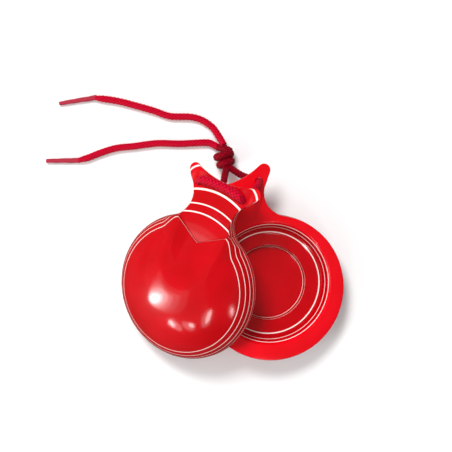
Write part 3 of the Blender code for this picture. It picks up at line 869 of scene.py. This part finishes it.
def build_bridge():
    """Over the front shell's neck, pressed flat between its two holes and wider along the shell."""
    half = [(HOLE_X, HOLE_Y, 1.0), (HOLE_X, HOLE_Y, 2.2), (HOLE_X - 0.5, HOLE_Y + 0.4, 3.5),
            (HOLE_X - 2.2, HOLE_Y + 1.6, BRIDGE_LIFT), (5, HOLE_Y + 2.4, BRIDGE_LIFT + 0.1)]
    points = [(-x, y, z) for x, y, z in half] + [(0, HOLE_Y + 2.5, BRIDGE_LIFT + 0.1)] + half[::-1]
    route = smooth_route([FRONT @ Vector(p) for p in points], ROPE_STEP)
    from_end, swell = filled_holes(len(route))
    pressed = smooth((from_end - BRIDGE_PRESS_START) / BRIDGE_PRESS_EASE)
    along_shell = FRONT.to_3x3() @ Vector((0, 1, 0))
    shape = rope_shape(route, STRAND_RADIUS, up=tuple(along_shell), wide=swell - BRIDGE_THINNING * pressed,
                       flat=swell + BRIDGE_SPREAD * pressed, wobble=BRIDGE_WOBBLE)
    piece = rope("bridge_over_neck", [shape])
    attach(piece, "front_shell")
    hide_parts("bridge_strand")


def build_rear_strands():
    """From the rear holes round behind the ears to the knot."""
    for node, points in (("rear_strand_left", REAR_STRAND_LEFT), ("rear_strand_right", REAR_STRAND_RIGHT)):
        route = smooth_route([REAR @ Vector(p) for p in points], ROPE_STEP)
        # the rear strands take the darker cord, painted shade
        piece = rope(f"braided_{node}", [rope_shape(route, LEG_RADIUS)], CORD_PAINTED_SHADE)
        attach(piece, "rear_shell")
        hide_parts(node)


def build_knot():
    """Two wraps of cord pulled tight round the pair of strands, with the tails leaving at the top."""
    centre = np.array(KNOT_PLACE)

    def around(points, radius=CORD_RADIUS, **shape):
        return rope_shape(smooth_route(centre + np.array(points), ROPE_STEP), radius, **shape)

    upper_wrap = around([(1.2, 0.8, -2.5), (2.7, 1.6, -1.4), (3.1, 2.3, 0.4), (2.0, 2.1, 2.2),
                         (-0.3, 1.4, 2.95), (-2.6, 0.7, 2.2), (-3.75, 0.4, 0.3), (-2.9, 0.5, -1.6),
                         (-1.0, 0.6, -2.6), (1.2, 0.8, -2.7)], WRAP_RADIUS)
    lower_wrap = around([(-0.6, -3.2, -2.4), (2.2, -2.4, -2.1), (3.5, -1.7, -0.2), (2.7, -2.0, 1.8),
                         (0.6, -2.9, 2.9), (-1.6, -3.5, 1.9), (-2.2, -3.7, 0.0), (-1.7, -3.5, -1.8),
                         (-0.6, -3.2, -2.6)], WRAP_RADIUS)
    lobe = around([(-3.3, 5.8, -2.85), (-1.9, 5.2, -1.0), (0.1, 4.5, 0.6), (1.8, 4.3, 1.2), (2.7, 3.9, 0.2),
                   (2.2, 3.0, -1.4), (0.6, 1.0, -1.4), (0.2, -2.0, -0.8), (-0.4, -4.5, -0.6)])
    rise = around([(-0.3, 6.9, -0.25), (-0.2, 5.4, -0.4), (0.0, 3.0, -0.2), (0.3, -1.0, 0.2),
                   (0.9, -4.5, 0.4)])
    legs = []
    for strand, under in ((REAR_STRAND_LEFT, (0.9, -4.9, 1.4)), (REAR_STRAND_RIGHT, (2.5, -4.6, 1.6))):
        end = tuple(REAR @ Vector(strand[-1]) - Vector(KNOT_PLACE))
        legs.append(around([end, under, (0.5, -2.0, 0.2), (0.1, 0.5, 0.0)], LEG_RADIUS))
    # the knot takes the darker cord, painted shade
    piece = rope("tied_knot", [upper_wrap, lower_wrap, lobe, rise, *legs], CORD_PAINTED_SHADE)
    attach(piece, "rear_shell")
    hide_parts("knot")


def pressed_tip(name, ends):
    """The cord's end, pressed flat and glued so that it passes through the holes."""
    start, end = (np.array(p) for p in ends)
    start = start - (end - start) * TIP_OVERLAP
    length = np.linalg.norm(end - start)
    places = np.linspace(0, 1, round(length / TIP_STEP) + 1)
    route = start + (end - start) * places[:, None]
    wide = np.interp(places, *TIP_TAPER)
    deep, broad = side_vectors(route, (0, 0, 1))
    angle = np.linspace(0, 2 * math.pi, TIP_SIDES, endpoint=False)
    ridges = np.sin(TIP_RIDGES * angle[None, :] + places[:, None] * length * TIP_RIDGE_TURN) * TIP_RIDGE_DEPTH
    reach = AGLET_RADIUS * (TIP_FIT + ridges) * wide[:, None]
    verts = (route[:, None, :] + broad[:, None, :] * (reach * np.cos(angle))[..., None]
             + deep[:, None, :] * (reach * np.sin(angle) * TIP_FLATNESS)[..., None]).reshape(-1, 3)
    faces = tube_faces(len(route), TIP_SIDES)
    last = (len(route) - 1) * TIP_SIDES
    faces.append(tuple(reversed(range(TIP_SIDES))))
    faces.append(tuple(range(last, last + TIP_SIDES)))
    mesh = bpy.data.meshes.new(name)
    mesh.from_pydata((verts * MM).tolist(), [], faces)
    mesh.shade_smooth()
    mesh.set_sharp_from_angle(angle=math.radians(50))
    mesh.materials.append(CORD_TIP)
    return link(bpy.data.objects.new(name, mesh))


def build_tails():
    """The two free tails with their pressed tips."""
    for which, points, ends in (("upper", TAIL_UPPER, AGLET_UPPER), ("lower", TAIL_LOWER, AGLET_LOWER)):
        tip = pressed_tip(f"pressed_tip_{which}", ends)
        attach(tip, "rear_shell")
        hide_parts(f"aglet_{which}")
        route = smooth_route(points, ROPE_STEP)
        from_end = np.arange(len(route))[::-1] * ROPE_STEP
        narrow = np.interp(from_end, *TAIL_TAPER)
        tail = rope(f"braided_tail_{which}", [rope_shape(route, CORD_RADIUS, wide=narrow, flat=narrow)])
        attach(tail, "rear_shell")
        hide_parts(f"tail_{which}")


build_tails()
build_knot()
build_rear_strands()
build_bridge()
build_crossings()

# ---------------------------------------------------------------- floor, light, in metres
FLOOR_HALF = 3
FLOOR_GAP = 0.0003
WORLD_STRENGTH = 0.04
floor_mesh = bpy.data.meshes.new("floor")
floor_corners = [(x * FLOOR_HALF, y * FLOOR_HALF, 0) for x, y in ((-1, -1), (1, -1), (1, 1), (-1, 1))]
floor_mesh.from_pydata(floor_corners, [], [(0, 1, 2, 3)])
floor = link(bpy.data.objects.new("floor", floor_mesh))
floor_look = Nodes("floor")
floor_look.set(Base_Color=(0.94, 0.94, 0.94, 1), Roughness=0.9, Specular_IOR_Level=0.1)
floor_mesh.materials.append(floor_look.material)
floor.location.z = -FLOOR_GAP
floor.visible_glossy = False

world = bpy.data.worlds.new("studio")
bpy.context.scene.world = world
world.use_nodes = True
background = world.node_tree.nodes["Background"]
background.inputs["Color"].default_value = (1, 1, 1, 1)
background.inputs["Strength"].default_value = WORLD_STRENGTH

LAMP_AIM = (0, 0, 0.02)
GLINT_DISTANCE = 0.9
# azimuth and elevation in degrees, width and height, brightness
GLINTS = ((-160, 15, 0.09, 0.16, 14), (-160, 16, 0.16, 0.26, 9), (-160, 19, 0.24, 0.36, 4.5),
          (-160, 22, 0.34, 0.46, 2.0), (-160, 27, 0.46, 0.56, 0.9), (-161, 33, 0.62, 0.64, 0.45),
          (-136, 17, 0.10, 0.08, 14), (-133, 19, 0.20, 0.12, 3), (-122, 30, 0.08, 0.06, 14),
          (-124, 27, 0.18, 0.12, 2.5), (-109, 46, 0.06, 0.24, 10), (-110, 44, 0.14, 0.34, 2.0),
          (-66, 48, 0.09, 0.16, 10), (-66, 48, 0.18, 0.28, 2.0))


def lamp(name, azimuth, elevation, distance, size, radiance, seen=True, shape="RECTANGLE"):
    """A flat lamp in a direction from the object, facing it. One that isn't seen leaves no reflection."""
    a, e = math.radians(azimuth), math.radians(elevation)
    towards = Vector((math.cos(a) * math.cos(e), math.sin(a) * math.cos(e), math.sin(e)))
    data = bpy.data.lights.new(name, "AREA")
    data.shape = shape
    data.size, data.size_y = size
    area = size[0] * size[1] * (math.pi / 4 if shape == "ELLIPSE" else 1)
    data.energy = radiance * math.pi * area
    obj = link(bpy.data.objects.new(name, data))
    obj.location = Vector(LAMP_AIM) + towards * distance
    obj.rotation_euler = (-towards).to_track_quat("-Z", "Y").to_euler()
    obj.visible_glossy = seen


lamp("ceiling", 60, 82, 1.3, (1.8, 1.8), 0.72, seen=False)
lamp("key", 114, 55, 1.2, (0.4, 0.4), 24.0, seen=False)
lamp("left_panel", -178, 40, 0.8, (1.7, 1.0), 0.09)
lamp("right_panel", -10, 56, 0.9, (0.9, 0.5), 0.05)
for number, (azimuth, elevation, width, height, radiance) in enumerate(GLINTS, 1):
    lamp(f"glint_{number}", azimuth, elevation, GLINT_DISTANCE, (width, height), radiance, shape="ELLIPSE")

bpy.context.scene.view_settings.view_transform = "Standard"
